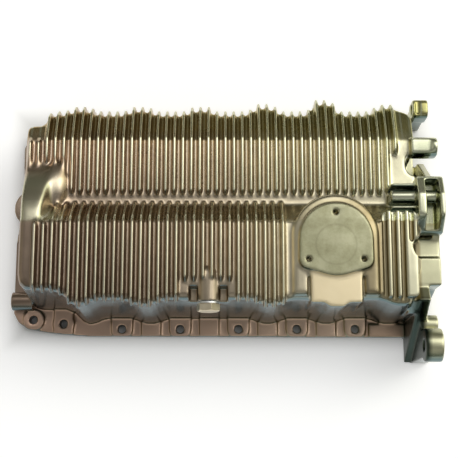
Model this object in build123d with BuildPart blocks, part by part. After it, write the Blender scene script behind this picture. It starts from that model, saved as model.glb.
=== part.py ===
from build123d import *
import os
from math import atan2, radians, tan

# Finned cast-aluminium oil pan of a four-cylinder engine, lying bottom up on its gasket face.
# Millimetres. +X points to the gearbox, +Y across the engine, +Z away from the gasket face.
# The origin lies in the gasket plane, under the crankshaft's centre line, half-way along the pan.

# ------------------------------------------------------------------ driving dimensions
# Walls and floors of the casting
wall = 4.0                        # wall and floor thickness
draft = 2.8                       # draft of the side walls, in degrees
deep_height = 114.0               # outside height of the deep sump floor
shallow_height = 86.0             # outside height of the shallow floor
corner_round = 14.0               # the walls turn in short flats along this radius
flat_enough = 0.001               # degrees between two triangles that make one flat face
sharp_turn = 50.0                 # corners sharper than this get more flats
rim_round = 5.0                   # rolled edge between floor and wall
front_wall_x = -188.0             # wall at the timing end, in the gasket plane
rear_wall_x = 187.0               # wall at the gearbox end
front_half_width = 86.0           # half width of the narrow front end

# Section across the engine
step_top_y = -19.0                # the deep floor ends here
step_foot_y = 2.5                 # the shallow floor starts here
shoulder_y = 66.0                 # the shallow floor starts to fall here
shoulder_drop = 24.0              # fall of the shoulder, in degrees

# Side walls, scalloped round the flange bolts
near_recess_y = 94.7              # near wall beside a bolt
near_bulge_y = 100.0              # near wall between two bolts
far_recess_y = 97.0               # far wall beside a bolt
bulge_flat = 15.0                 # flat tip of a bulge
bulge_ramp = 8.0                  # run from recess to bulge
far_bulges = ((-134, 102), (-77, 102), (-19, 102), (42, 105.5), (99, 110), (160, 105.5))

# Gasket flange and its bolts
flange_thickness = 9.0
flange_half_width = 113.0
flange_front_x = -204.5
flange_rear_x = 195.0
bolt_row_y = 105.0
near_bolt_pitch = 57.3
near_bolt_count = 5
near_bolt_centre_x = 17.3
far_bolts_x = (-106.0, -49.0, 12.0, 68.0, 133.0)
corner_bolts = ((-184.3, 96.0), (-154.6, 102.5))
near_corner_bolts = ((-184.3, -96.0), (-154.6, -99.8))
bolt_hole = 7.8
bolt_pad_r = 10.5
bolt_pad_height = 3.0             # raised above the flange
near_block = 19.0                 # width of the raised blocks between the near bolts
end_block_x = (145.5, 183.0)      # raised block at the gearbox end of the near flange

# Cooling fins
fin_pitch = 8.0
fin_height = 6.0
fin_root = 5.6                    # width where the fin meets the floor
fin_tip = 2.2                     # width of the tip
fin_nose = 5.0                    # sloped end of a fin
fin_bend = 4.0                    # a fin turns a corner over this length
fin_bury = 1.5                    # depth of the fin's foot inside the wall
fin_foot_z = 21.0                 # the shallow fins end here on the far wall
short_fins_x = (-179.5, -171.5)   # short low fins beside the front corner
short_fin_start_y = 66.0
shallow_fin_x = -163.5            # first fin of the shallow floor
shallow_fin_count = 42
shallow_fin_end_y = 14.0          # a smooth ledge is left along the step
first_fins_end_y = (42.0, 36.0)   # the first two stop at the dome
last_fin_end_y = 52.6             # the last one stops at the bolt boss
deep_fin_x = -167.5               # first fin of the deep floor
deep_fin_count = 29
dome_fin_count = 2                # these start on the dome, not on the step
drain_fins_end_y = -72.0          # fins beside the drain boss are shorter
drain_fins_reach = 25.0

# Dome at the timing end, which carries the deep floor over the shallow one
dome_crease_x = -165.0
dome_foot_x = -154.0
dome_foot_y = 42.0
dome_mid = (12.0, 106.0)          # y and z of the highest bend of its back

# Level sensor seat on its pedestal
seat_x = 104.1
seat_y = -39.8
seat_height = 122.0
seat_r = 33.0                     # of its round upper part
seat_rise = 4.0                   # how far that part's centre stands off the bolt circle's
seat_lobe_r = 8.5
seat_pcd = 57.2
seat_hole = 5.2
seat_hole_depth = 10.0
pedestal_y = -32.0
pedestal_r = 39.0
pedestal_height = 117.5
pedestal_end_y = -86.0
pedestal_round = 2.5
panel_width = 46.5
panel_height = 119.0
panel_end_y = -93.0
panel_tongue_y = -97.0
panel_groove = 2.5

# Finned block beside the pedestal
block_x = (146.0, 178.0)
block_y = (-88.0, -9.0)
block_height = 118.5
block_groove = 4.2
block_groove_depth = 6.0
block_grooves_x = (148.5, 156.5, 164.5, 172.5)
block_short_groove_y = -37.0

# Drain boss, plug and washer
drain_x = -10.5
drain_z = 107.5
drain_boss_r = 10.5
drain_start_y = -67.6             # its round end swells out of the floor here
drain_face_y = -91.5
drain_thread = 14.0
drain_clearance = 0.2
drain_pocket = 8.0                # width of the pocket on each side of the boss
drain_pocket_y = -77.0
drain_pocket_z = 96.0
well_start_y = -70.0              # the boss stands in a solid well inside the sump
well_half_width = 23.0
well_z = 91.0
plug_across_flats = 19.0
plug_head = 7.0
plug_shank = 13.0
plug_turn = 15.0                  # how far the tightened hexagon stands round, in degrees
plug_chamfer = 0.8
washer_thickness = 1.5
washer_r = 10.0

# Gearbox end
gearbox_face_x = 203.5
rim_plate = 7.5                   # thickness of the plate behind the gearbox face
lug_bolt = 10.5
lug_a_y = (98.5, 117.0)
lug_a_x = 188.3
lug_a_top = 56.0
lug_b_y = (49.0, 67.5)
lug_b_top = 98.0
lug_depth = 25.0
lug_rim = 2.5                     # the lugs A and B are shallow trays with this rim
arch_y = (-28.0, 24.6)            # hollow arch in the middle of the gearbox end
arch_top = 122.0
arch_ends = (105.0, 113.0)
arch_depth = 32.0
arch_rim = 3.6
arch_pocket_x = (187.0, 198.7)
pad_one_y = (-47.6, -28.0)
pad_one_top = 87.0
pad_two_y = (-73.5, -47.6)
pad_two_top = 90.0
neck = (-106.0, 58.0, 9.0)        # y, z and radius of the starter lug's neck
lobe = (-127.0, 77.0, 15.5)       # y, z and radius of its lobe
lobe_stem_y = -138.0
wing_x = (180.3, 192.0)
scoops = ((186.0, 43.0, 12.0), (184.0, -42.0, 10.5))     # x, y and radius
cross_boss_y = 6.8
cross_boss_z = 104.0
cross_boss_r = 6.0
cross_start_x = 156.0
cross_ribs_y = (17.0, -4.0)
cross_rib = 3.0

# Timing end
ear_x = -187.5
ear_y = 16.0
ear_r = 19.5
ear_height = 14.0
front_boss_y = -78.5
front_boss_z = 17.0
front_boss_r = 9.0
front_boss_x = -204.8

os.makedirs("parts", exist_ok=True)

lean = tan(radians(draft))
fall = tan(radians(shoulder_drop))
near_bolts_x = [near_bolt_centre_x + (i - (near_bolt_count - 1) / 2) * near_bolt_pitch
                for i in range(near_bolt_count)]
near_mids_x = [x + near_bolt_pitch / 2 for x in near_bolts_x[:-1]]
drain_bay = min(near_mids_x, key=lambda x: abs(x - drain_x))
shaft_r = drain_thread / 2 - drain_clearance
washer_y = drain_face_y - washer_thickness
flange_bolts = [(x, -bolt_row_y) for x in near_bolts_x] + [(x, bolt_row_y) for x in far_bolts_x]
flange_bolts += near_corner_bolts + corner_bolts
lug_bolts = ((sum(lug_a_y) / 2, lug_a_top - 10), (sum(lug_b_y) / 2, lug_b_top - 10), lobe[:2])


# ------------------------------------------------------------------ shell of the casting
def wall_outline(inset):
    """Corners of the side wall in plan, moved inwards by inset."""
    half = bulge_flat / 2
    near, bulge, far = near_recess_y - inset, near_bulge_y - inset, far_recess_y - inset
    front, rear, narrow = front_wall_x + inset, rear_wall_x - inset, front_half_width - inset
    points = [(front, -narrow), (-146, -narrow), (-132, -bulge), (-124, -bulge), (-114, -near)]
    for mid in near_mids_x:
        if mid != drain_bay:
            points += [(mid - half - bulge_ramp, -near), (mid - half, -bulge)]
            points += [(mid + half, -bulge), (mid + half + bulge_ramp, -near)]
    points += [(146, -near), (156, -bulge), (rear - 9, -bulge), (rear - 9, -76), (rear, -64)]
    points += [(rear, 99 - inset), (167.5 - 0.5 * inset, 105.5 - inset)]
    for x, y in reversed(far_bulges):
        if x != far_bulges[-1][0]:
            points += [(x + half + bulge_ramp, far), (x + half, y - inset)]
        points += [(x - half, y - inset), (x - half - bulge_ramp, far)]
    points += [(-164 + 0.5 * inset, far), (-171 + 0.5 * inset, narrow), (front, narrow)]
    return points


def eased(points):
    """The same outline with every corner cut to short flats."""
    result = []
    corners = [Vector(x, y) for x, y in points]
    for i, corner in enumerate(corners):
        back, ahead = corners[i - 1] - corner, corners[(i + 1) % len(corners)] - corner
        turn = 180 - back.get_angle(ahead)
        reach = min(corner_round * tan(radians(turn / 2)), 0.4 * back.length, 0.4 * ahead.length)
        start, end = corner + back.normalized() * reach, corner + ahead.normalized() * reach
        flats = 1 if turn < sharp_turn else 3
        for t in [k / flats for k in range(flats + 1)]:
            spot = start * (1 - t) ** 2 + corner * 2 * t * (1 - t) + end * t ** 2
            result.append((spot.X, spot.Y))
    return result


def band(low, high):
    """Flat faces that join one ring of corners to the ring above it."""
    faces = []
    for k in range(len(low)):
        a, b, c, d = low[k - 1], low[k], high[k], high[k - 1]
        if (b - a).cross(c - a).get_angle((c - a).cross(d - a)) < flat_enough:
            faces.append(Face(Wire.make_polygon([a, b, c, d])))
        else:
            faces += [Face(Wire.make_polygon([a, b, c])), Face(Wire.make_polygon([a, c, d]))]
    return faces


def tub(height, inset, roll):
    """Closed block inside the side walls, with a rolled upper edge."""
    rings = ((0, 0), (height - roll, 0), (height - 0.35 * roll, 0.3 * roll), (height, roll))
    loops = []
    for z, inward in rings:
        loops.append([Vector(x, y, z) for x, y in eased(wall_outline(inset + z * lean + inward))])
    faces = [Face(Wire.make_polygon(loops[0])), Face(Wire.make_polygon(loops[-1]))]
    for low, high in zip(loops, loops[1:]):
        faces += band(low, high)
    return Solid(Shell(faces))


def yz_plate(points, x0, x1, radius=0.0):
    """Plate with its outline in the YZ plane, from x0 to x1."""
    with BuildPart() as plate:
        with BuildSketch(Plane.YZ.offset(x0)):
            with BuildLine():
                if radius:
                    FilletPolyline(*points, radius=radius, close=True)
                else:
                    Polyline(*points, close=True)
            make_face()
        extrude(amount=x1 - x0)
    return plate.part


def dome(drop):
    """The deep floor carried over the shallow one at the timing end, lowered by drop."""
    top = deep_height - drop
    low = wall
    mid_y, mid_z = dome_mid
    with BuildPart() as back:
        with BuildSketch(Plane.YZ.offset(flange_front_x)):
            with BuildLine():
                curve = Spline((dome_foot_y - drop, shallow_height - drop), (mid_y, mid_z - drop),
                               (step_top_y, top), tangents=[(-1, 0.9), (-1, 0)])
                Polyline(curve @ 1, (step_top_y - pedestal_r, top), (step_top_y - pedestal_r, low),
                         (dome_foot_y - drop, low), curve @ 0)
            make_face()
        extrude(amount=dome_foot_x - flange_front_x)
        with BuildSketch(Plane.XZ.offset(-flange_half_width)):
            with BuildLine():
                Polyline((flange_front_x, low), (flange_front_x, top), (dome_crease_x - drop, top),
                         (dome_foot_x - drop, shallow_height - drop), (dome_foot_x - drop, low), close=True)
            make_face()
        extrude(amount=2 * flange_half_width, mode=Mode.INTERSECT)
    return back.part


def above_floors(drop):
    """Everything above the step, the shallow floor and the shoulder, lowered by drop."""
    step_angle = atan2(deep_height - shallow_height, step_foot_y - step_top_y)
    shift = drop * tan(step_angle / 2)
    low, far_end, sky = shallow_height - drop, 1.3 * flange_half_width, 1.5 * deep_height
    with BuildPart() as cut:
        with BuildSketch(Plane.YZ.offset(1.1 * flange_front_x)):
            with BuildLine():
                FilletPolyline((step_top_y - shift, deep_height - drop), (step_foot_y - shift, low),
                               (shoulder_y, low), (far_end, low - (far_end - shoulder_y) * fall),
                               (far_end, sky), (step_top_y - shift, sky), radius=rim_round, close=True)
            make_face()
        extrude(amount=1.1 * (gearbox_face_x - flange_front_x))
        add(dome(drop), mode=Mode.SUBTRACT)
        add(pedestal(drop), mode=Mode.SUBTRACT)
    return cut.part


def pedestal(inset):
    """Tombstone-shaped stand of the sensor seat; inset gives the hollow under it."""
    r, top = pedestal_r - inset, pedestal_height - inset
    with BuildPart() as stand:
        with BuildSketch(Plane.XY.offset(shallow_height / 2)):
            with Locations((seat_x, pedestal_y)):
                Circle(r)
                Rectangle(2 * r, pedestal_y - pedestal_end_y, align=(Align.CENTER, Align.MAX))
        extrude(amount=top - shallow_height / 2)
        chamfer(stand.faces().sort_by(Axis.Z)[-1].edges(), length=pedestal_round)
    return stand.part


# ------------------------------------------------------------------ cooling fins
def wall_y(x, z, side):
    """Y of the far (side 1) or near (side -1) wall at a given x and height."""
    points = wall_outline(z * lean)
    found = []
    for (x0, y0), (x1, y1) in zip(points, points[1:] + points[:1]):
        if min(x0, x1) <= x <= max(x0, x1) and x0 != x1:
            found.append(y0 + (y1 - y0) * (x - x0) / (x1 - x0))
    return side * max(side * y for y in found)


def fin(x, route):
    """One cooling fin: a tapered rib swept over the casting in the plane of x."""
    half_root, half_tip = fin_root / 2, fin_tip / 2
    with BuildPart() as rib:
        with BuildLine(Plane.YZ.offset(x)) as path:
            Polyline(*route)
        with BuildSketch(Plane(origin=path.line @ 0, x_dir=(1, 0, 0), z_dir=path.line % 0)):
            Polygon((-half_root, -fin_bury), (half_root, -fin_bury),
                    (half_tip, fin_height), (-half_tip, fin_height), align=None)
        sweep(transition=Transition.RIGHT)
    return rib.part


def shallow_fin(x, end_y):
    """A fin from low on the far wall, over the shoulder, to end_y on the shallow floor."""
    edge_z = shallow_height - (wall_y(x, shallow_height, 1) - shoulder_y) * fall
    edge_y = wall_y(x, edge_z, 1)
    route = [(wall_y(x, fin_foot_z, 1) - fin_height - 1, fin_foot_z - fin_nose),
             (wall_y(x, fin_foot_z, 1), fin_foot_z + fin_nose),
             (edge_y, edge_z - fin_bend), (edge_y - fin_bend, edge_z + fin_bend * fall),
             (shoulder_y, shallow_height),
             (end_y + fin_nose, shallow_height),
             (end_y, shallow_height - fin_height - 0.5)]
    return fin(x, route)


def deep_fin(x, start_y, end_y):
    """A fin from the step, or from start_y on the deep floor, to end_y at the near rim."""
    if start_y > step_top_y:
        route = [(start_y - fin_bend / 2, shallow_height - fin_bend),
                 (start_y - fin_bend, shallow_height + fin_nose),
                 (step_top_y + fin_bend / 2, deep_height - 0.65 * fin_bend),
                 (step_top_y - fin_bend / 2, deep_height)]
    else:
        route = [(start_y, deep_height - fin_height - 0.5), (start_y - fin_nose, deep_height)]
    route += [(end_y + fin_nose, deep_height), (end_y, deep_height - fin_height - 0.5)]
    return fin(x, route)


shallow_fins_x = [shallow_fin_x + i * fin_pitch for i in range(shallow_fin_count)]
shallow_ends = list(first_fins_end_y)
shallow_ends += [shallow_fin_end_y] * (shallow_fin_count - len(first_fins_end_y) - 1) + [last_fin_end_y]
deep_fins_x = [deep_fin_x + i * fin_pitch for i in range(deep_fin_count)]

fins = [shallow_fin(x, end_y) for x, end_y in zip(shallow_fins_x, shallow_ends)]
for x in short_fins_x:
    fins.append(fin(x, ((short_fin_start_y, shallow_height - fin_height - 0.5),
                        (short_fin_start_y - fin_nose, shallow_height),
                        (first_fins_end_y[0] - fin_nose, shallow_height))))
for i, x in enumerate(deep_fins_x):
    near_end = wall_y(x, deep_height, -1) + 1
    if abs(x - drain_x) < drain_fins_reach:
        near_end = drain_fins_end_y
    fins.append(deep_fin(x, step_top_y if i < dome_fin_count else step_foot_y + 0.3, near_end))


# ------------------------------------------------------------------ sump hollow
scoop_bottom = flange_thickness

with BuildPart() as hollow:
    add(tub(deep_height - wall, wall, rim_round - 2))
    add(above_floors(wall), mode=Mode.SUBTRACT)
    with Locations((drain_x, well_start_y, well_z)):
        Box(2 * well_half_width, deep_height, deep_height, align=(Align.CENTER, Align.MAX, Align.MIN),
            mode=Mode.SUBTRACT)
    for x, y, r in scoops:
        with Locations((x, y, 0)):
            Cylinder(r + wall, deep_height, align=(Align.CENTER, Align.CENTER, Align.MIN),
                     mode=Mode.SUBTRACT)

# ------------------------------------------------------------------ gasket flange
flange_corners = [(flange_rear_x, -flange_half_width), (-130, -111.7), (-162.7, -109.3), (-190.2, -104.8),
                  (-199.6, -98.2), (flange_front_x, -89.5), (flange_front_x, -20), (-199.5, 25), (-200, 80),
                  (-192, 96), (-180, 104), (-165, 110), (-150, flange_half_width),
                  (flange_rear_x, flange_half_width)]

with BuildPart() as flange:
    with BuildSketch():
        with BuildLine():
            Polyline(*flange_corners, close=True)
        make_face()
    extrude(amount=flange_thickness)
    with BuildSketch(Plane.XY.offset(flange_thickness)):
        for x, y in flange_bolts:
            with Locations((x, y)):
                Circle(bolt_pad_r)
        for x in near_bolts_x:
            with Locations((x, -bolt_row_y)):
                Rectangle(2 * bolt_pad_r, bolt_pad_r + 3, align=(Align.CENTER, Align.MIN))
        for x in near_mids_x:
            with Locations((x, -flange_half_width)):
                Rectangle(near_block, flange_half_width - near_recess_y + 4, align=(Align.CENTER, Align.MIN))
        for y in (near_corner_bolts[1][1], corner_bolts[1][1]):
            with Locations((near_corner_bolts[1][0], y)):
                Rectangle(near_block, 4 * bolt_pad_r)
        with Locations(((end_block_x[0] + end_block_x[1]) / 2, -flange_half_width)):
            Rectangle(end_block_x[1] - end_block_x[0], flange_half_width - near_bulge_y,
                      align=(Align.CENTER, Align.MIN))
        with BuildLine():
            Polyline(*flange_corners, close=True)
        make_face(mode=Mode.INTERSECT)
    extrude(amount=bolt_pad_height)

# ------------------------------------------------------------------ the casting
with BuildPart() as pan_casting:
    add(tub(deep_height, 0, rim_round))
    add(above_floors(0), mode=Mode.SUBTRACT)
    with BuildSketch(Plane.XY.offset(shallow_height / 2)):
        with Locations(((block_x[0] + block_x[1]) / 2, (block_y[0] + block_y[1]) / 2)):
            RectangleRounded(block_x[1] - block_x[0], block_y[1] - block_y[0], rim_round)
    extrude(amount=block_height - shallow_height / 2)
    for x, y, r in scoops:
        with Locations((x, y, scoop_bottom)):
            Cylinder(r, 2 * deep_height, align=(Align.CENTER, Align.CENTER, Align.MIN), mode=Mode.SUBTRACT)
    add(pedestal(0))
    add(flange.part)

    # sensor seat and the bare panel below it
    with BuildSketch(Plane.XY.offset(deep_height - wall)):
        with Locations((seat_x, seat_y + seat_rise)):
            Circle(seat_r)
        with Locations((seat_x, seat_y)):
            with PolarLocations(seat_pcd / 2, 3, start_angle=90):
                Circle(seat_lobe_r)
        make_hull()
    extrude(amount=seat_height - deep_height + wall)
    with BuildSketch(Plane.XY.offset(shallow_height / 2)):
        with BuildLine():
            half = panel_width / 2
            Polyline((seat_x - half, seat_y), (seat_x - half, panel_end_y), (seat_x - half / 2, panel_end_y),
                     (seat_x - half / 4, panel_tongue_y), (seat_x + half / 4, panel_tongue_y),
                     (seat_x + half / 2, panel_end_y), (seat_x + half, panel_end_y),
                     (seat_x + half, seat_y), close=True)
        make_face()
    extrude(amount=panel_height - shallow_height / 2)

    # drain boss
    with BuildSketch(Plane.XZ.offset(-drain_start_y)):
        with Locations((drain_x, drain_z)):
            Circle(drain_boss_r)
    extrude(amount=drain_start_y - drain_face_y)
    with Locations(Location((drain_x, drain_start_y, drain_z), (90, 0, 0))):
        Sphere(drain_boss_r)

    # gearbox end
    add(yz_plate(((lug_a_y[0], lug_a_top - lug_depth), (lug_a_y[0], lug_a_top), (lug_a_y[1], lug_a_top),
                  (lug_a_y[1], lug_a_top - lug_depth)), lug_a_x, gearbox_face_x, 5))
    add(yz_plate(((lug_a_y[0] + 2, 0), (lug_a_y[0] + 2, lug_a_top - 2 * wall),
                  (flange_half_width, lug_a_top - 2 * wall), (flange_half_width, 0)),
                 lug_a_x, gearbox_face_x - 1))
    add(yz_plate(((lug_b_y[0], lug_b_top - lug_depth), (lug_b_y[0], lug_b_top), (lug_b_y[1], lug_b_top),
                  (lug_b_y[1], lug_b_top - lug_depth)), rear_wall_x - 2 * wall, gearbox_face_x, 9))
    add(yz_plate(((60, 0), (60, 23), (42.5, 52), (20, 90), (-25, 90), (-71, 70), (-87.6, 0)),
                 gearbox_face_x - rim_plate, gearbox_face_x))
    add(yz_plate(((arch_y[0], arch_top - arch_depth), (arch_y[0], arch_ends[0]), (-14, arch_top),
                  (6, arch_top),
                  (arch_y[1], arch_ends[1]), (arch_y[1], arch_top - arch_depth)),
                 rear_wall_x - 2 * wall, gearbox_face_x, 5))
    add(yz_plate(((pad_one_y[0], 60), (pad_one_y[0], pad_one_top), (pad_one_y[1], pad_one_top),
                  (pad_one_y[1], 60)), rear_wall_x - 2 * wall, gearbox_face_x))
    add(yz_plate(((pad_two_y[0], 60), (pad_two_y[0], pad_two_top), (pad_two_y[1], pad_two_top),
                  (pad_two_y[1], 60)), rear_wall_x - 2 * wall, gearbox_face_x))
    add(yz_plate(((pad_two_y[0], 0), (pad_two_y[0], pad_one_top), (pad_two_y[0] + 8, pad_one_top),
                  (pad_two_y[0] + 8, 0)), rear_wall_x - 14, gearbox_face_x))
    with BuildSketch(Plane.YZ.offset(rear_wall_x)):
        with Locations((lobe[0], lobe[1])):
            Circle(lobe[2])
        with Locations((neck[0], neck[1])):
            Circle(neck[2])
        with Locations((lobe_stem_y, 0)):
            Rectangle(2 * lobe[2] - 5, lobe[1], align=(Align.MIN, Align.MIN))
        with Locations((neck[0], 0)):
            Rectangle(2 * neck[2], neck[1], align=(Align.CENTER, Align.MIN))
    extrude(amount=gearbox_face_x - rear_wall_x)
    add(yz_plate(((-60, 0), (-60, 80), (-88, 98), (-137, 3), (-137, 0)), *wing_x))
    add(yz_plate(((-62, 0), (-62, 78), (-88, 94), (-98, 80), (-98, 0)), rear_wall_x - 14, wing_x[0] + 1))
    with BuildSketch(Plane.YZ.offset(cross_start_x)):
        with Locations((cross_boss_y, shallow_height)):
            Rectangle(1.6 * cross_boss_r, cross_boss_z - shallow_height, align=(Align.CENTER, Align.MIN))
        for y in cross_ribs_y:
            with Locations((y, shallow_height - wall / 2)):
                Rectangle(cross_rib, 26, align=(Align.CENTER, Align.MIN))
    extrude(amount=rear_wall_x - cross_start_x)

    # timing end
    with Locations((ear_x, ear_y, 0)):
        Cylinder(ear_r, ear_height, align=(Align.CENTER, Align.CENTER, Align.MIN))
    with BuildSketch(Plane.YZ.offset(front_boss_x)):
        with Locations((front_boss_y, front_boss_z)):
            Circle(front_boss_r)
    extrude(amount=front_wall_x + wall - front_boss_x)

    # grooves and pockets
    for x in block_grooves_x:
        end_y = block_short_groove_y if x == block_grooves_x[-1] else block_y[0] - rim_round
        with Locations((x, block_y[1] + 1, block_height - block_groove_depth)):
            Box(block_groove, block_y[1] + 1 - end_y, 2 * block_groove_depth,
                align=(Align.CENTER, Align.MAX, Align.MIN), mode=Mode.SUBTRACT)
    for side in (-1, 1):
        groove_x = seat_x + side * (panel_width + panel_groove) / 2
        with Locations((groove_x, seat_y + seat_rise - seat_r, deep_height)):
            Box(panel_groove, -panel_tongue_y, deep_height, align=(Align.CENTER, Align.MAX, Align.MIN),
                mode=Mode.SUBTRACT)
        pocket_x = drain_x + side * (drain_boss_r + drain_pocket / 2 - 1)
        with Locations((pocket_x, drain_pocket_y, drain_pocket_z)):
            Box(drain_pocket, deep_height, deep_height, align=(Align.CENTER, Align.MAX, Align.MIN),
                mode=Mode.SUBTRACT)
    with Locations((lug_a_x + lug_rim, lug_a_y[0] + lug_rim, lug_a_top - lug_rim)):
        Box(gearbox_face_x - rim_plate - lug_a_x - lug_rim, 2 * lug_depth, lug_depth,
            align=(Align.MIN, Align.MIN, Align.MIN), mode=Mode.SUBTRACT)
    with Locations((rear_wall_x - 2 * wall, sum(lug_b_y) / 2, lug_b_top - lug_rim)):
        Box(gearbox_face_x - rear_wall_x + 2 * wall - 2 * lug_rim, lug_b_y[1] - lug_b_y[0] - 2 * lug_rim,
            lug_depth, align=(Align.MIN, Align.CENTER, Align.MIN), mode=Mode.SUBTRACT)
    with Locations((arch_pocket_x[0], sum(arch_y) / 2, arch_top - arch_depth + wall)):
        Box(arch_pocket_x[1] - arch_pocket_x[0], arch_y[1] - arch_y[0] - 2 * arch_rim, 2 * arch_depth,
            align=(Align.MIN, Align.CENTER, Align.MIN), mode=Mode.SUBTRACT)
    with BuildSketch(Plane.YZ.offset(cross_start_x)):
        with Locations((cross_boss_y, cross_boss_z)):
            Circle(cross_boss_r)
    extrude(amount=gearbox_face_x - 1 - cross_start_x)

    # holes
    with Locations(*[(x, y, 0) for x, y in flange_bolts]):
        Cylinder(bolt_hole / 2, 4 * flange_thickness, mode=Mode.SUBTRACT)
    with Locations((seat_x, seat_y, seat_height)):
        with PolarLocations(seat_pcd / 2, 3, start_angle=90):
            Cylinder(seat_hole / 2, seat_hole_depth, align=(Align.CENTER, Align.CENTER, Align.MAX),
                     mode=Mode.SUBTRACT)
    with BuildSketch(Plane.XZ.offset(-drain_face_y)):
        with Locations((drain_x, drain_z)):
            Circle(drain_thread / 2)
    extrude(amount=drain_face_y - well_start_y - 1, mode=Mode.SUBTRACT)
    with BuildSketch(Plane.YZ.offset(rear_wall_x - 1)):
        with Locations(*lug_bolts):
            Circle(lug_bolt / 2)
    extrude(amount=gearbox_face_x - rear_wall_x + 2, mode=Mode.SUBTRACT)

    add(fins)
    add(hollow.part, mode=Mode.SUBTRACT)

# ------------------------------------------------------------------ drain plug and washer
with BuildPart() as drain_plug:
    with BuildSketch(Plane.XZ.offset(-washer_y)):
        with Locations((drain_x, drain_z)):
            RegularPolygon(plug_across_flats / 2, 6, major_radius=False, rotation=plug_turn)
    extrude(amount=plug_head)
    chamfer(drain_plug.faces().sort_by(Axis.Y)[0].edges(), length=plug_chamfer)
    with BuildSketch(Plane.XZ.offset(-washer_y)):
        with Locations((drain_x, drain_z)):
            Circle(shaft_r)
    extrude(amount=-(plug_shank + washer_thickness))

with BuildPart() as drain_plug_washer:
    with BuildSketch(Plane.XZ.offset(-drain_face_y)):
        with Locations((drain_x, drain_z)):
            Circle(washer_r)
            Circle(shaft_r + drain_clearance, mode=Mode.SUBTRACT)
    extrude(amount=washer_thickness)

pan_casting.part.label = "pan_casting"
drain_plug.part.label = "drain_plug"
drain_plug_washer.part.label = "drain_plug_washer"
export_step(pan_casting.part, "parts/pan_casting.step")
export_step(drain_plug.part, "parts/drain_plug.step")
export_step(drain_plug_washer.part, "parts/drain_plug_washer.step")
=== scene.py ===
# %% [markdown]
# # A finned aluminium oil pan, dressed for the camera
# The pan is one casting that stands bottom up on its gasket face, with a drain plug and its washer.
# The solids come ready from the frame. This lesson gives them their surfaces, cuts the thread on the plug,
# and sets up the floor, the light and the camera.

# %% Load the frame
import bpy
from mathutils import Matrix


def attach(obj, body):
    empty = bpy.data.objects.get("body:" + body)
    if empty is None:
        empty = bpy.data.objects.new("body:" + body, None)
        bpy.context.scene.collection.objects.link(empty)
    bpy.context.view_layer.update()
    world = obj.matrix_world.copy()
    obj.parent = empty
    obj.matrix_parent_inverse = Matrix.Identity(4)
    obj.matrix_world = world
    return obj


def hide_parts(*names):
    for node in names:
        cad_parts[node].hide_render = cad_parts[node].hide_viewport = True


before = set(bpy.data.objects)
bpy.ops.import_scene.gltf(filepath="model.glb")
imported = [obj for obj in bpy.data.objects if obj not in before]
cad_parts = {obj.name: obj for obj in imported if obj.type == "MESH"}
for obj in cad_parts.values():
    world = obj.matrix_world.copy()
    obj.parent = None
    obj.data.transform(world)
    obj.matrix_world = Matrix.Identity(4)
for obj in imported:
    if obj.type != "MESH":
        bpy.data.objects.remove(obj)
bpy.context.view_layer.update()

# %% The three solids
import math
import bmesh
import bpy
import numpy as np
from mathutils import Vector

scene = bpy.context.scene
MM = 0.001                                  # Blender counts in metres; the places below are in millimetres
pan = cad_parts["pan_casting"]
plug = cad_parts["drain_plug"]
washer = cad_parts["drain_plug_washer"]
print("triangles:", {solid.name: len(solid.data.polygons) for solid in (pan, plug, washer)})

# %% [markdown]
# ## A few words for building node trees
# A material, a world and a Geometry Nodes tree are all nodes joined by links. Each node could be placed by
# hand, with four lines of Python for every sum. Short words for the same four lines keep the recipe of a
# finish readable, so that one line says one thing about the surface.

# %% Words for any tree
class Nodes:
    """Short calls for adding and joining the nodes of one tree."""

    def __init__(self, tree):
        self.tree = tree

    def add(self, kind, **settings):
        node = self.tree.nodes.new(kind)
        for name, value in settings.items():
            setattr(node, name, value)
        return node

    def put(self, source, socket):
        """Joins an output to a socket, or writes a plain value on it."""
        if isinstance(source, bpy.types.NodeSocket):
            self.tree.links.new(source, socket)
        else:
            socket.default_value = source

    def math(self, operation, a, b=0.0, clamp=False):
        node = self.add("ShaderNodeMath", operation=operation, use_clamp=clamp)
        self.put(a, node.inputs[0])
        self.put(b, node.inputs[1])
        return node.outputs[0]

    def times(self, first, *others):
        """The product of two or more values: for shares, inside all of them at once."""
        for other in others:
            first = self.math("MULTIPLY", first, other)
        return first

    def split(self, vector):
        node = self.add("ShaderNodeSeparateXYZ")
        self.put(vector, node.inputs[0])
        return node.outputs

    def span(self, source, low, high, to_low=0.0, to_high=1.0, smooth=False):
        """Maps low..high of a value onto to_low..to_high, and holds it there."""
        node = self.add("ShaderNodeMapRange", interpolation_type="SMOOTHSTEP" if smooth else "LINEAR")
        for socket, value in zip(node.inputs, (source, low, high, to_low, to_high)):
            self.put(value, socket)
        return node.outputs["Result"]

    def mix(self, amount, a, b, blend="MIX"):
        node = self.add("ShaderNodeMix", data_type="RGBA", blend_type=blend)
        self.put(amount, node.inputs["Factor"])
        self.put(a if isinstance(a, bpy.types.NodeSocket) else (*a, 1), node.inputs[6])
        self.put(b if isinstance(b, bpy.types.NodeSocket) else (*b, 1), node.inputs[7])
        return node.outputs[2]

    def ramp(self, source, *stops):
        """Colour ramp; each stop is a position and a colour."""
        node = self.add("ShaderNodeValToRGB")
        self.put(source, node.inputs[0])
        band = node.color_ramp
        while len(band.elements) < len(stops):
            band.elements.new(0.5)
        for element, (position, colour) in zip(band.elements, stops):
            element.position = position
            element.color = (*colour, 1)
        return node.outputs["Color"]


print("words for any tree:", [word for word in vars(Nodes) if not word.startswith("_")])

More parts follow.
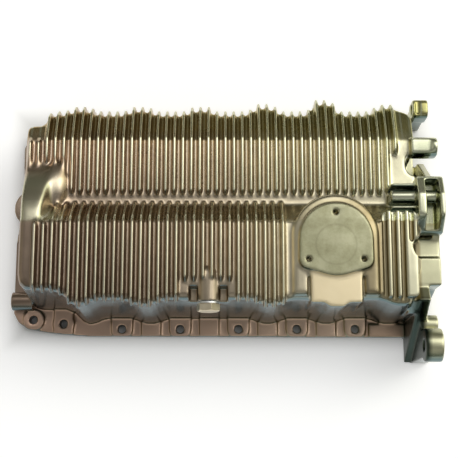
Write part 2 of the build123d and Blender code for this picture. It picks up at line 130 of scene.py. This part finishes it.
# %% Words for a finish
class Finish(Nodes):
    """A material whose patterns stand still on the object.

    Places are in millimetres. A share runs from 0, not there, to 1, all there.
    """

    def __init__(self, name):
        self.material = bpy.data.materials.new(name)
        self.material.use_nodes = True
        super().__init__(self.material.node_tree)
        self.shader = self.tree.nodes["Principled BSDF"]
        place = self.add("ShaderNodeTexCoord")
        self.place, self.facing = place.outputs["Object"], place.outputs["Normal"]

    def noise(self, scale, detail=4.0, rough=0.5):
        node = self.add("ShaderNodeTexNoise")
        self.put(self.place, node.inputs["Vector"])
        node.inputs["Scale"].default_value = scale
        node.inputs["Detail"].default_value = detail
        node.inputs["Roughness"].default_value = rough
        return node.outputs["Fac"]

    def bump(self, height, strength, distance, normal=None):
        node = self.add("ShaderNodeBump")
        self.put(height, node.inputs["Height"])
        node.inputs["Strength"].default_value = strength
        node.inputs["Distance"].default_value = distance * MM
        if normal is not None:
            self.put(normal, node.inputs["Normal"])
        return node.outputs["Normal"]

    def soft_edges(self, radius, samples=6):
        node = self.add("ShaderNodeBevel", samples=samples)
        node.inputs["Radius"].default_value = radius * MM
        return node.outputs["Normal"]

    def rise(self, source, low, high):
        """0 below low and 1 above high."""
        return self.span(source, low * MM, high * MM)

    def fall(self, source, low, high):
        """1 below low and 0 above high."""
        return self.span(source, low * MM, high * MM, 1, 0)

    def between(self, source, low, high, soft=1.0):
        """1 inside low..high and 0 outside, with soft ends."""
        begun = self.rise(source, low - soft, low + soft)
        return self.times(begun, self.fall(source, high - soft, high + soft))

    def coat(self, colour, share, strength, paint):
        """Lays a paint over a colour."""
        return self.mix(self.times(share, strength), colour, paint)

    def darken(self, colour, share, strength, tint):
        """Darkens a colour by a tint."""
        return self.coat(colour, share, strength, self.mix(1.0, colour, tint, "MULTIPLY"))

    def use(self, **inputs):
        """Sets the shader's own sockets, with the words of their names joined by underscores."""
        for name, source in inputs.items():
            self.put(source, self.shader.inputs[name.replace("_", " ")])


print("words for a finish:", [word for word in vars(Finish) if not word.startswith("_")])

# %% [markdown]
# ## Melting the edges
# A casting has no sharp corner: metal doesn't fill one, and the mould's edges are rounded so that the part
# comes out. The solid from the frame has crisp edges. Bevelling them would be the usual way, but at the
# fins' feet hundreds of edges meet, and a bevel folds over itself there. So a copy of the solid is turned
# into a fine, even net by the voxel remesher, and each point of the net is then moved towards its
# neighbours. At the end the net is thinned again where it is flat.

# %% One piece from another
def new_piece(name, mesh):
    piece = bpy.data.objects.new(name, mesh)
    scene.collection.objects.link(piece)
    return piece


def applied(piece):
    """The piece's mesh with its modifiers applied; the piece itself is removed."""
    graph = bpy.context.evaluated_depsgraph_get()
    mesh = bpy.data.meshes.new_from_object(piece.evaluated_get(graph))
    bpy.data.objects.remove(piece)
    return mesh


def plain(shape, name):
    """A mesh from a bmesh, which is freed."""
    mesh = bpy.data.meshes.new(name)
    shape.to_mesh(mesh)
    shape.free()
    return mesh


# %% A fine net over the casting
VOXEL = 0.9                                 # millimetres; a fin's tip is 2.2 wide
WELD = 1e-6                                 # metres: the solid's triangles are loose until they are welded
BULGE_MIDDLE, BULGE_RADII = (-155, 21, 84), (13, 23, 13)    # a soft swelling beside the dome
crisp = bmesh.new()
crisp.from_mesh(pan.data)
bmesh.ops.remove_doubles(crisp, verts=crisp.verts, dist=WELD)
bulge = bmesh.ops.create_uvsphere(crisp, u_segments=48, v_segments=24, radius=1.0)["verts"]
for point in bulge:
    point.co = Vector(BULGE_MIDDLE) * MM + Vector([c * r * MM for c, r in zip(point.co, BULGE_RADII)])
rough = new_piece("rough_casting", plain(crisp, "rough_casting"))
voxels = rough.modifiers.new("net", "REMESH")
voxels.mode, voxels.voxel_size = "VOXEL", VOXEL * MM
net = applied(rough)
print("net:", len(net.vertices), "points")

# %% The net as arrays
count = len(net.vertices)
points = np.empty(count * 3, np.float32)
net.vertices.foreach_get("co", points)
points = points.reshape(-1, 3).astype(float)
links = np.empty(len(net.edges) * 2, np.int32)
net.edges.foreach_get("vertices", links)
links = links.reshape(-1, 2)
neighbours = np.bincount(links.ravel(), minlength=count)[:, None]
print("links:", len(links), "with", neighbours.min(), "to", neighbours.max(), "neighbours for each point")

# %% [markdown]
# ## Where the metal flowed
# A few moves round the fins as a mould does. Where the real surfaces run into each other, as round the dome
# and the gearbox lugs, more moves melt them together. Blender's own Smooth modifier would do it with a
# vertex group for each place, but every pass of it goes through the whole net. Here only the points of one
# soft-sided box are worked on, which takes a second instead of a minute.

# %% Move points towards their neighbours
def melt(passes, share=None):
    """Moves points half-way to the middle of their neighbours; share says how much of it, from 0 to 1."""
    share = np.ones(count) if share is None else share
    chosen = np.flatnonzero(share > 0)
    near = links[(share[links] > 0).any(1)]
    number = np.zeros(count, int)           # each chosen point's place in the sums; 0 is for the others
    number[chosen] = np.arange(1, len(chosen) + 1)
    first, second = number[near[:, 0]], number[near[:, 1]]
    step = 0.5 * share[chosen][:, None] / neighbours[chosen]
    for _ in range(passes):
        total = np.stack([np.bincount(first, points[near[:, 1], axis], len(chosen) + 1)
                          + np.bincount(second, points[near[:, 0], axis], len(chosen) + 1)
                          for axis in range(3)], 1)[1:]
        points[chosen] += step * (total - neighbours[chosen] * points[chosen])
    print(passes, "passes over", len(chosen), "points")


def zone(low, high, soft):
    """1 inside the box with these corners in millimetres, and 0 outside, with soft sides."""
    share = np.ones(count)
    for axis in range(3):
        place = points[:, axis] / MM
        share *= np.clip((place - low[axis]) / soft + 0.5, 0, 1)
        share *= np.clip((high[axis] - place) / soft + 0.5, 0, 1)
    return share


melt(4)                                     # every edge, as the mould rounds it

# %% Melt the soft places further
LOW, TOP = -400, 400                        # further out than the pan reaches on any side
melt(60, zone((LOW, -17, 60), (-140, 46, TOP), 9))          # the dome at the timing end
melt(24, zone((LOW, 34, 60), (-166, TOP, TOP), 4))          # the short fins on the corner beside it
melt(7, zone((178, LOW, 12), (TOP, TOP, TOP), 6))           # rim and lugs of the gearbox end
finned_block = zone((140, -100, 60), (184, -6, TOP), 4)     # this one keeps its fins
melt(14, zone((150, LOW, 20), (178, TOP, TOP), 6) * (1 - finned_block))
melt(12, zone((52, -110, 60), (146, 12, 120), 3))           # the pedestal below the sensor seat
net.vertices.foreach_set("co", points.astype(np.float32).ravel())

# %% Thin the net where it is flat
FACES_KEPT = 190000                         # triangles
dense = new_piece("dense_casting", net)
thin = dense.modifiers.new("thin", "DECIMATE")
thin.ratio = FACES_KEPT / (2 * len(net.polygons))           # the ratio counts triangles, two for each quad
body = new_piece("cast_body", applied(dense))
body.data.polygons.foreach_set("use_smooth", [True] * len(body.data.polygons))
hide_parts("pan_casting")
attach(body, "root")
body.data.calc_loop_triangles()
print("casting:", len(body.data.loop_triangles), "triangles")

# %% [markdown]
# ## The cast skin
# Aluminium that was poured into a mould has a slightly rolling, satin skin. The colour drifts along the
# pan, from a pinkish brown at the timing end to a pale straw green at the gearbox end. It could be painted
# on an unwrapped mesh, but every layer here follows from the place on the pan or from the way that a face
# looks, so it is worked out from the object's own coordinates and needs no map. A metal shows little of
# its own: most of what is seen is the room, so the drift is gentle and the roughness does the rest.

# %% Cast aluminium: the drifting colour
cast = Finish("cast_aluminium")
along, across, up = cast.split(cast.place)
_, face_y, face_z = cast.split(cast.facing)
clouds = cast.times(cast.math("SUBTRACT", cast.noise(9), 0.5), 0.35)
drift = cast.math("ADD", cast.rise(along, -200, 200), clouds)
tone = cast.ramp(drift, (0.0, (0.44, 0.335, 0.245)), (0.5, (0.50, 0.42, 0.30)), (1.0, (0.60, 0.58, 0.40)))
mottle = cast.ramp(cast.noise(60, 6, 0.6), (0.3, (0.84, 0.84, 0.84)), (0.7, (1, 1, 1)))
skin = cast.mix(1.0, tone, mottle, "MULTIPLY")
print("skin:", len(cast.tree.nodes), "nodes")

# %% [markdown]
# ## Finding the fins' tips
# The fins' tips are painted paler, a painted highlight along each tip, and parts of the floors between them
# are painted darker, as shade. The deep sump's floor is 28 mm higher than the shallow one's, so the height
# above the floor is counted from either. On the two slopes that height has no meaning, and there the tips are
# found by the fins' pitch: the distance from the middle line of the nearest fin, in parts of the pitch. A map
# baked from the mesh's curvature would find them too, but it would have to be stored, and it would catch
# every other edge as well.

# %% Height above the floor, and distance from a fin's line
DEEP_FLOOR, SHALLOW_FLOOR, FIN_HEIGHT, PITCH = 114 * MM, 86 * MM, 6 * MM, 8 * MM
FIRST_DEEP_FIN, FIRST_SHALLOW_FIN = -167.5 * MM, -163.5 * MM
deep_side = cast.fall(across, -18, -16)
floor_level = cast.span(deep_side, 0, 1, SHALLOW_FLOOR, DEEP_FLOOR)
fin_share = cast.math("DIVIDE", cast.math("SUBTRACT", up, floor_level), FIN_HEIGHT)
first_fin = cast.span(across, 4 * MM, 6 * MM, FIRST_DEEP_FIN, FIRST_SHALLOW_FIN)
turns = cast.math("DIVIDE", cast.math("SUBTRACT", along, first_fin), PITCH)
nearest = cast.math("SUBTRACT", cast.math("FRACT", cast.math("ADD", turns, 0.5)), 0.5)
on_line = cast.span(cast.math("ABSOLUTE", nearest), 0.05, 0.16, 1, 0)
print("fins every", round(PITCH / MM, 1), "mm, from", round(FIRST_DEEP_FIN / MM, 1), "mm on")

# %% The slopes
upward = cast.span(face_z, 0.1, 0.4)
outward = cast.span(face_y, 0.6, 0.8)
shoulder = cast.times(cast.rise(across, 62, 78), cast.rise(up, 30, 40), cast.math("MAXIMUM", upward, outward))
# painted shade: the shoulder slope faces away from the light and is painted a darker gold
gold = cast.ramp(cast.noise(110, 3), (0.40, (1.0, 1.0, 0.70)), (0.62, (1.0, 0.95, 0.60)))
skin = cast.darken(skin, shoulder, 0.9, gold)
# painted shade: the shoulder is painted darker still towards the gearbox end
gearbox_shoulder_shade = cast.times(shoulder, cast.rise(along, 20, 150))
skin = cast.darken(skin, gearbox_shoulder_shade, 0.6, (0.5, 0.5, 0.4))
# painted shade: the step wall between the two floors faces away from the light and is painted darker
step = cast.between(across, -19, 1)
skin = cast.darken(skin, step, 0.5, (0.85, 0.80, 0.62))
print("with the slopes:", len(cast.tree.nodes), "nodes")

# %% The tips, and the two places that have none
fin_field = cast.fall(along, 138, 142)
line_or_all = cast.span(fin_field, 0, 1, 1, on_line)        # past the field, height alone finds the tips
flat_tips = cast.times(cast.span(fin_share, 0.70, 0.90), line_or_all)
slope_tips = cast.times(shoulder, on_line, upward)
dome = cast.times(cast.fall(along, -144, -138), cast.between(across, -18, 48, 2))
skin = cast.coat(skin, cast.times(dome, cast.rise(up, 92, 100)), 0.7, (0.52, 0.52, 0.38))
pedestal = cast.times(cast.between(along, 60, 147), cast.between(across, -92, 12))
finned = cast.math("SUBTRACT", 1.0, cast.math("MAXIMUM", dome, pedestal))
tips = cast.times(cast.math("MAXIMUM", flat_tips, slope_tips), finned)
print("with the tips:", len(cast.tree.nodes), "nodes")

# %% Painted shade on the floors and in the block's grooves, and painted highlights on the tips over it
# painted shade: the deep floor is painted darker towards the timing end
deep_floor_shade = cast.times(deep_side, cast.fall(along, -120, 70))
skin = cast.darken(skin, deep_floor_shade, 0.66, (0.50, 0.47, 0.48))
# painted shade: the ledge at the foot of the step is painted a little darker
ledge = cast.between(across, 2, 13)
skin = cast.darken(skin, ledge, 0.25, (0.5, 0.45, 0.42))
# painted shade: the finned block's grooves are painted darker towards their floors
block_groove_shade = cast.times(cast.between(along, 142, 185), deep_side, cast.span(fin_share, 0.35, 0.75, 1, 0))
skin = cast.darken(skin, block_groove_shade, 0.7, (0.42, 0.34, 0.22))
# painted highlight: a pale line along each fin's tip, weaker on the deep floor
tip_highlight_strength = cast.span(deep_side, 0, 1, 0.6, 0.4)               # less on the deep floor than on the shallow one
skin = cast.coat(skin, tips, tip_highlight_strength, (0.66, 0.69, 0.52))
print("with the dirt:", len(cast.tree.nodes), "nodes")

# %% [markdown]
# ## Walls, flange and machined faces
# The near wall is painted a dark blue steel colour, darker towards the flange: painted shade, and a painted
# reflection of a darker part of the room in its mirror-like face. The flange's upper face has a coppery
# tarnish.
# Two faces were milled after casting, the round seat of the level sensor and the flat panel beside it: they
# are duller and even, and the seat carries the faint ring that a gasket leaves. Each could be a material of
# its own on its own faces. One material with a share for each place was chosen, because the remeshed net has
# no edges to part them at.

# %% Near wall and flange
near_faces = cast.span(face_y, -0.35, -0.9)
# painted shade and reflection: a dark teal over the faces that look forward, darker towards the flange
wall_shade_and_reflection = cast.mix(cast.rise(up, 12, 30), (0.03, 0.075, 0.085), (0.07, 0.15, 0.185))
skin = cast.coat(skin, near_faces, 0.85, wall_shade_and_reflection)
flange_top = cast.times(cast.fall(up, 17, 19), cast.span(face_z, 0.6, 0.9),
                        cast.fall(across, -84, -80), cast.fall(along, 178, 184))
skin = cast.coat(skin, flange_top, 0.7, (0.72, 0.49, 0.36))
print("with walls and flange:", len(cast.tree.nodes), "nodes")

# %% Sensor seat and panel
SEAT_X = 104.1
GASKET_RING_Y, GASKET_RING = -41, (17.5, 19)                # middle and the two radii of the mark
seat_face = cast.times(cast.rise(up, 121.2, 121.6), cast.between(along, 62, 146))
stone = cast.ramp(cast.noise(55, 8, 0.75), (0.34, (0.33, 0.32, 0.19)), (0.62, (0.48, 0.47, 0.31)))
ring_x = cast.math("SUBTRACT", along, SEAT_X * MM)
ring_y = cast.math("SUBTRACT", across, GASKET_RING_Y * MM)
from_middle = cast.math("SQRT", cast.math("ADD", cast.times(ring_x, ring_x), cast.times(ring_y, ring_y)))
stone = cast.coat(stone, cast.between(from_middle, *GASKET_RING, 0.6), 0.35, (0.26, 0.25, 0.15))
skin = cast.coat(skin, seat_face, 1.0, stone)
panel_face = cast.times(cast.between(along, 80.5, 127), cast.fall(across, -66, -64),
                        cast.between(up, 118.2, 120.6, 0.2))
skin = cast.coat(skin, panel_face, 1.0, (0.80, 0.69, 0.46))
print("with seat and panel:", len(cast.tree.nodes), "nodes")

# %% The shaded places: round the seat, the starter corner, the lugs
seat_rim = cast.times(cast.between(along, 60, 147), cast.between(up, 114.6, 121, 0.4),
                      cast.between(across, -92, 10), cast.math("SUBTRACT", 1.0, panel_face),
                      cast.rise(along, 90, 135))
skin = cast.darken(skin, seat_rim, 0.9, (0.50, 0.44, 0.36))
starter_corner = cast.times(cast.between(along, 178, 191, 2), cast.fall(across, -88, -84))
skin = cast.coat(skin, starter_corner, 0.92, (0.02, 0.035, 0.028))
lugs = cast.rise(along, 180, 186)
skin = cast.darken(skin, lugs, 0.3, (0.55, 0.58, 0.42))
cast.use(Base_Color=skin, Metallic=1.0)
print("whole colour:", len(cast.tree.nodes), "nodes")

# %% Gloss and relief
satin = cast.span(cast.noise(35, 4), 0.3, 0.7, 0.20, 0.30)
machined = cast.math("MAXIMUM", seat_face, panel_face)
for share, duller in ((near_faces, -0.12), (deep_side, 0.08), (machined, 0.20)):
    satin = cast.math("ADD", satin, cast.times(share, duller))
rolling = cast.bump(cast.noise(70, 2), 0.10, 1)
grain = cast.bump(cast.noise(900, 3, 0.6), 0.08, 0.3, rolling)
cast.use(Roughness=satin, Normal=grain)
body.data.materials.append(cast.material)
pan.material_slots[0].material = cast.material
print("cast aluminium:", len(cast.tree.nodes), "nodes on", body.name)

# %% [markdown]
# ## The drain plug
# The drain plug is turned and milled from a hexagon bar. Its head has a cone cut over the six corners, which
# leaves a curved line on each flat, and its shank carries an M14 thread. A hexagonal prism cut by a cone
# with a Boolean would give the same head with slivers along the cut. Here the head is laid as rings of
# points round the axis, each as far out as the hexagon or the cone allows, whichever is less.

# %% Hexagon head and shank
PLUG_X, PLUG_Z, HEAD_FACE_Y, SEAT_Y, PLUG_END_Y = -10.5, 107.5, -100.0, -93.0, -78.5
ACROSS_FLATS, TURN, AROUND = 19.0, math.radians(15), 96
CORE_R, THREAD_R, THREAD_PITCH = 6.1, 6.75, 1.5
UNCUT = 99                                  # wider than the bar: here only the hexagon counts
HEAD = [(HEAD_FACE_Y, 8.4), (HEAD_FACE_Y + 0.15, 9.0), (HEAD_FACE_Y + 0.5, 9.7), (HEAD_FACE_Y + 0.9, 10.4),
        (HEAD_FACE_Y + 1.5, UNCUT), (SEAT_Y - 0.6, UNCUT), (SEAT_Y - 0.5, 9.4), (SEAT_Y, 9.3)]
SHANK = [(SEAT_Y, CORE_R), (PLUG_END_Y - 1.2, CORE_R), (PLUG_END_Y, CORE_R - 1.0)]


def hexagon(angle):
    return ACROSS_FLATS / 2 / math.cos((angle - TURN) % (math.pi / 3) - math.pi / 6)


turned = bmesh.new()
rows = []
for y, limit in HEAD + SHANK:
    row = []
    for angle in (2 * math.pi * part / AROUND for part in range(AROUND)):
        out = min(hexagon(angle), limit)
        row.append(turned.verts.new(((PLUG_X + out * math.cos(angle)) * MM, y * MM,
                                     (PLUG_Z + out * math.sin(angle)) * MM)))
    rows.append(row)
for row, after in zip(rows, rows[1:]):
    for part in range(AROUND):
        turned.faces.new((row[part - 1], row[part], after[part], after[part - 1]))
turned.faces.new(rows[0])
turned.faces.new(reversed(rows[-1]))
bmesh.ops.recalc_face_normals(turned, faces=turned.faces)
blank = plain(turned, "plug_blank")
print("plug blank:", len(blank.polygons), "faces")

# %% [markdown]
# ## A thread by Geometry Nodes
# A thread is one ridge that climbs round a shank at a steady pitch. The Screw modifier could turn a profile
# into it, with its sizes in the modifier's own settings. A tree of Geometry Nodes was chosen, because its
# radius, pitch, length and depth are named inputs, so the same tree cuts the plug's thread and the three
# threads in the sensor seat. It sweeps a three-sided profile along a spiral and closes the ends.

# %% The tree and its inputs
thread_tree = bpy.data.node_groups.new("thread", "GeometryNodeTree")
for label, kind in (("Radius", "Float"), ("Pitch", "Float"), ("Length", "Float"), ("Depth", "Float"),
                    ("Metal", "Material")):
    thread_tree.interface.new_socket(label, in_out="INPUT", socket_type="NodeSocket" + kind)
thread_tree.interface.new_socket("Thread", in_out="OUTPUT", socket_type="NodeSocketGeometry")
way = Nodes(thread_tree)
given = way.add("NodeGroupInput").outputs
spiral = way.add("GeometryNodeCurveSpiral")
spiral.inputs["Resolution"].default_value = 36              # points in one turn
way.put(way.math("DIVIDE", given["Length"], given["Pitch"]), spiral.inputs["Rotations"])
way.put(given["Radius"], spiral.inputs["Start Radius"])
way.put(given["Radius"], spiral.inputs["End Radius"])
way.put(given["Length"], spiral.inputs["Height"])
print("thread inputs:", [item.name for item in thread_tree.interface.items_tree if item.in_out == "INPUT"])

# %% Sweep the profile
profile = way.add("GeometryNodeCurvePrimitiveCircle")
profile.inputs["Resolution"].default_value = 3              # a triangle
way.put(given["Depth"], profile.inputs["Radius"])
swept = way.add("GeometryNodeCurveToMesh")
way.put(spiral.outputs[0], swept.inputs["Curve"])
way.put(profile.outputs[0], swept.inputs["Profile Curve"])
swept.inputs["Fill Caps"].default_value = True
real = way.add("GeometryNodeRealizeInstances")
way.put(swept.outputs[0], real.inputs[0])
metal = way.add("GeometryNodeSetMaterial")
way.put(real.outputs[0], metal.inputs["Geometry"])
way.put(given["Metal"], metal.inputs["Material"])
way.put(metal.outputs[0], way.add("NodeGroupOutput").inputs[0])
print("thread tree:", len(thread_tree.nodes), "nodes")

# %% Run a tree
def grow(name, tree, **sizes):
    """Runs a tree on an empty piece with these input sizes, and gives back its plain mesh."""
    piece = new_piece(name, bpy.data.meshes.new(name))
    nodes = piece.modifiers.new("tree", "NODES")
    nodes.node_group = tree
    for item in tree.interface.items_tree:
        if item.item_type == "SOCKET" and item.in_out == "INPUT" and item.name in sizes:
            nodes[item.identifier] = sizes[item.name]
    mesh = applied(piece)
    print(name + ":", len(mesh.polygons), "faces")
    return mesh


print("an input is set by its identifier, such as", thread_tree.interface.items_tree["Radius"].identifier)

# %% [markdown]
# ## Plated steel
# The plug is steel with a yellowish zinc plating that has dulled. Its edges are milled, so they are only
# slightly broken. A Bevel modifier would add faces along every edge of the rings; the shader's Bevel node
# rounds them for the eye alone, which is enough at this size.

# %% Plated steel
plated = Finish("plated_steel")
zinc = plated.ramp(plated.noise(120, 4), (0.3, (0.56, 0.48, 0.34)), (0.7, (0.68, 0.60, 0.44)))
dulled = plated.span(plated.noise(200), 0.3, 0.7, 0.30, 0.42)
relief = plated.bump(plated.noise(700), 0.1, 0.2, plated.soft_edges(0.4))
plated.use(Base_Color=zinc, Metallic=1.0, Roughness=dulled, Normal=relief)
plug.material_slots[0].material = plated.material
print("plated steel:", len(plated.tree.nodes), "nodes")

# %% Plug: blank and thread together
RIDGE, RUN_IN, RUN_OUT = 0.45, 2.0, 1.5     # height of the thread, and bare shank before and after it
thread = grow("plug_thread", thread_tree, Radius=(THREAD_R - RIDGE) * MM, Pitch=THREAD_PITCH * MM,
              Length=(PLUG_END_Y - SEAT_Y - RUN_IN - RUN_OUT) * MM, Depth=RIDGE * MM, Metal=plated.material)
whole = bmesh.new()
whole.from_mesh(thread)
for point in whole.verts:                   # the tree's thread climbs along +Z; the plug points along +Y
    x, y, z = point.co
    point.co = (PLUG_X * MM + x, (SEAT_Y + RUN_IN) * MM + z, PLUG_Z * MM - y)
whole.from_mesh(blank)
threaded_plug = new_piece("threaded_plug", plain(whole, "threaded_plug"))
threaded_plug.data.materials.append(plated.material)
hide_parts("drain_plug")
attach(threaded_plug, "root")
print("threaded plug:", len(threaded_plug.data.polygons), "faces")

# %% [markdown]
# ## Threads in the sensor seat
# Three small screws hold the level sensor on its machined seat. Their holes are tapped. A thread in a hole
# could be cut with a Boolean, but the ridge alone shows, so the same tree makes it, a little inside the
# hole's wall, and it is set down once in each of the three holes.

# %% Tapped holes
SEAT_MID_Y, SEAT_TOP, SCREW_CIRCLE, SCREW_R = -39.8, 122.0, 57.2, 2.6
HOLES, FIRST_HOLE, THREAD_DEPTH = 3, 90, 9.0                # how many, the first one's angle, how deep
one_thread = grow("seat_thread", thread_tree, Radius=(SCREW_R - 0.1) * MM, Pitch=0.9 * MM, Length=8.1 * MM,
                  Depth=0.3 * MM, Metal=cast.material)
tapped = bmesh.new()
for hole in range(HOLES):
    angle = math.radians(FIRST_HOLE + 360 / HOLES * hole)
    before = len(tapped.verts)
    tapped.from_mesh(one_thread)
    tapped.verts.ensure_lookup_table()
    for point in tapped.verts[before:]:
        point.co += Vector((SEAT_X + SCREW_CIRCLE / 2 * math.cos(angle),
                            SEAT_MID_Y + SCREW_CIRCLE / 2 * math.sin(angle), SEAT_TOP - THREAD_DEPTH)) * MM
seat_threads = new_piece("seat_threads", plain(tapped, "seat_threads"))
seat_threads.data.materials.append(cast.material)
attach(seat_threads, "root")
print("seat threads:", len(seat_threads.data.polygons), "faces")

# %% [markdown]
# ## The washer
# A ring of soft aluminium is squeezed under the plug's head and seals it. It is flat, round and mostly
# hidden, so the solid from the frame serves as it is, and only gets its paler, duller metal.

# %% Soft washer metal
soft = Finish("washer_aluminium")
pale = soft.ramp(soft.noise(150, 3), (0.3, (0.60, 0.60, 0.58)), (0.7, (0.72, 0.72, 0.70)))
soft.use(Base_Color=pale, Metallic=1.0, Roughness=soft.span(soft.noise(300), 0.3, 0.7, 0.35, 0.5))
washer.material_slots[0].material = soft.material
print("washer:", len(washer.data.polygons), "triangles,", len(soft.tree.nodes), "nodes")

# %% [markdown]
# ## The floor
# The pan stands on a plain white floor. White could be forced by more light, but that would bleach the pan
# as well. So the floor glows a little for the eye and for reflections only, which the Light Path node
# tells, and it doesn't light the pan. Under the pan and a little round it the glow is faded out: it would
# shine up through the bolt holes, and the fade paints a soft shadow round the pan's foot.

# %% Floor
FLOOR_SIZE, FLOOR_DROP, FLOOR_GLOW = 12, 0.4, 0.38          # metres, millimetres under the pan, strength
SHADE_X, SHADE_Y, SHADE_SOFT = 0.19, 0.10, 0.03             # metres: half the pan, and the width of the fade
white = Finish("white_floor")
rays = white.add("ShaderNodeLightPath").outputs
seen = white.math("ADD", white.math("ADD", rays["Is Camera Ray"], rays["Is Glossy Ray"]),
                  rays["Is Transmission Ray"], clamp=True)
floor_x, floor_y, _ = white.split(white.place)
away_x = white.math("SUBTRACT", white.math("ABSOLUTE", floor_x), SHADE_X)
away_y = white.math("SUBTRACT", white.math("ABSOLUTE", floor_y), SHADE_Y)
# painted shadow: the glow fades out towards the pan, which darkens the floor round its foot
away = white.span(white.math("MAXIMUM", away_x, away_y), 0.0, SHADE_SOFT, smooth=True)
white.use(Base_Color=(0.93, 0.93, 0.93, 1), Roughness=0.8, Specular_IOR_Level=0.2,
          Emission_Color=(1, 1, 1, 1), Emission_Strength=white.times(seen, away, FLOOR_GLOW))
bpy.ops.mesh.primitive_plane_add(size=FLOOR_SIZE, location=(0, 0, -FLOOR_DROP * MM))
floor = bpy.context.object
floor.name = "floor"
floor.data.materials.append(white.material)
print("floor:", FLOOR_SIZE, "m wide,", FLOOR_DROP, "mm under the pan")

# %% [markdown]
# ## The room's light
# Metal is a mirror, so the shape of the lights is what is seen on it. Area lamps would do, but each leaves
# a hard-edged reflection on the melted edges. The room itself is used instead: a dim, even level, lower
# near the horizon, because metal needs something dark to show its shape, and soft patches in the sky
# above, behind, towards the gearbox end and, weaker, at the other two sides.

# %% Patches of the sky
world = bpy.data.worlds.new("studio")
scene.world = world
world.use_nodes = True
room = Nodes(world.node_tree)
east, north, top = room.split(room.add("ShaderNodeTexCoord").outputs["Generated"])


def glow(x, y, wide, deep):
    """A soft round-cornered patch of the sky round the direction with these x and y parts."""
    dx = room.math("DIVIDE", room.math("SUBTRACT", east, x), wide)
    dy = room.math("DIVIDE", room.math("SUBTRACT", north, y), deep)
    far = room.math("ADD", room.times(dx, dx), room.times(dy, dy))
    return room.math("POWER", 2.718, room.times(far, -1.0))


PATCHES = (                                 # x and y of its direction, width, depth, power
    (0.32, 0.42, 0.55, 0.17, 2.7),          # the long window behind the pan
    (0.45, 0.15, 0.28, 0.20, 1.3),          # above it
    (0.75, 0.30, 0.22, 0.30, 2.8),          # at the gearbox end
    (-0.85, 0.10, 0.25, 0.35, 0.4),         # a weak one at the timing end
    (0.0, -0.75, 0.50, 0.25, 0.4))          # a weak one in front, for the near wall
level = room.span(top, 0.1, 0.75, 0.14, 0.25, smooth=True)
for x, y, wide, deep, power in PATCHES:
    level = room.math("ADD", level, room.times(glow(x, y, wide, deep), power))
tint = room.ramp(room.span(top, 0.0, 0.8), (0.0, (0.80, 0.86, 0.62)), (0.6, (1.0, 0.98, 0.88)),
                 (1.0, (1, 1, 1)))
back = world.node_tree.nodes["Background"]
room.put(tint, back.inputs["Color"])
room.put(level, back.inputs["Strength"])
print("room light:", len(PATCHES), "patches")

# %% [markdown]
# ## The camera
# It looks down on the pan, 11.5 degrees off the plumb line, from a good metre above the floor, so the
# floors lie open and the near wall shows as a strip. A closer camera with a wider lens would spread the
# walls apart.

# %% Camera
TILT = 11.5                                 # degrees off straight down
SENSOR = 36                                 # millimetres, square
FOCAL = 1080 / 458                          # focal length in widths of the frame
lens = bpy.data.cameras.new("camera")
camera = bpy.data.objects.new("camera", lens)
scene.collection.objects.link(camera)
camera.location = (8 * MM, -220.3 * MM, 1071 * MM)
camera.rotation_euler = (math.radians(TILT), 0, 0)
lens.sensor_width = lens.sensor_height = SENSOR
lens.sensor_fit = "AUTO"
lens.lens = SENSOR * FOCAL
scene.camera = camera
scene.view_settings.view_transform = "Standard"
print("lens:", round(lens.lens, 1), "mm")
